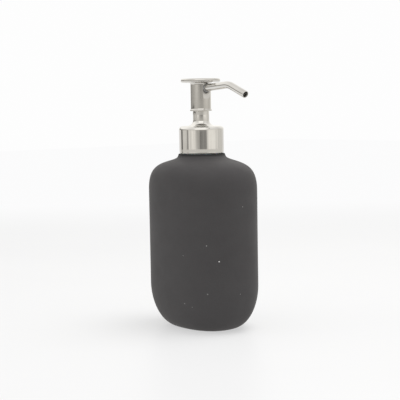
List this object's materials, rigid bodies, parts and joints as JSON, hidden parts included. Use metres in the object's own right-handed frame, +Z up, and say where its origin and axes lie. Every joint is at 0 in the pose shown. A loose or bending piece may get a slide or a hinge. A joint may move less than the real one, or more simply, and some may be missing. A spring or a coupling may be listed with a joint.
{
  "type": "soap pump dispenser",
  "caption": "Counter-top soap dispenser: oval matte stoneware bottle with a screw-on polished metal lotion pump, round finger pad and bent spout.",
  "frame": {"origin": "centre of the bottle's flat base, on the pump's axis", "axes": "+Z up along the pump's axis, +X along the bottle's long side towards the spout, +Y across its depth"},
  "size_m": [0.095, 0.0658, 0.1843],
  "materials": {
    "stoneware": "matte",
    "polished_metal": "polished",
    "resin": "satin",
    "tube_resin": "satin",
    "gasket": "matte",
    "spring_steel": "satin"
  },
  "bodies": {
    "bottle": {"bottle_shell": "stoneware", "neck_insert": "resin"},
    "pump_engine": {"pump_housing": "resin", "housing_cap": "resin", "stem_seal": "gasket", "neck_gasket": "gasket", "ball_cage": "resin", "dip_tube": "tube_resin", "return_spring": "spring_steel"},
    "collar": {"collar_shell": "polished_metal", "collar_insert": "resin"},
    "plunger": {"valve_pin": "resin"},
    "piston": {"piston_seal": "resin"},
    "head": {"stem_tube": "resin", "head_core": "resin", "head_sleeve": "polished_metal", "finger_disc": "polished_metal", "spout_tube": "polished_metal", "spout_seal": "gasket"},
    "inlet_valve": {"inlet_ball": "spring_steel"}
  },
  "joints": [
    {"name": "collar_lift", "type": "slide", "parent": "bottle", "child": "pump_engine", "axis": [0, 0, 1], "range_m": [0, 0.0053]},
    {"name": "collar_turn", "type": "hinge", "parent": "pump_engine", "child": "collar", "pos_m": [0, 0, 0.1402], "axis": [0, 0, 1], "range_deg": [0, 450]},
    {"name": "pump_press", "type": "slide", "parent": "pump_engine", "child": "plunger", "axis": [0, 0, -1], "range_m": [0, 0.008], "stiffness_N_per_m": 400, "springref_m": -0.01, "deforming": ["return_spring"]},
    {"name": "piston_slip", "type": "slide", "parent": "plunger", "child": "piston", "axis": [0, 0, 1], "range_m": [0, 0.0012]},
    {"name": "head_swivel", "type": "hinge", "parent": "plunger", "child": "head", "pos_m": [0, 0, 0.134], "axis": [0, 0, 1], "continuous": true},
    {"name": "ball_lift", "type": "slide", "parent": "pump_engine", "child": "inlet_valve", "axis": [0, 0, 1], "range_m": [0, 0.0015]}
  ],
  "couplings": [
    {"joint": "collar_lift", "follows": "collar_turn", "m_per_rad": 0.00067323}
  ]
}
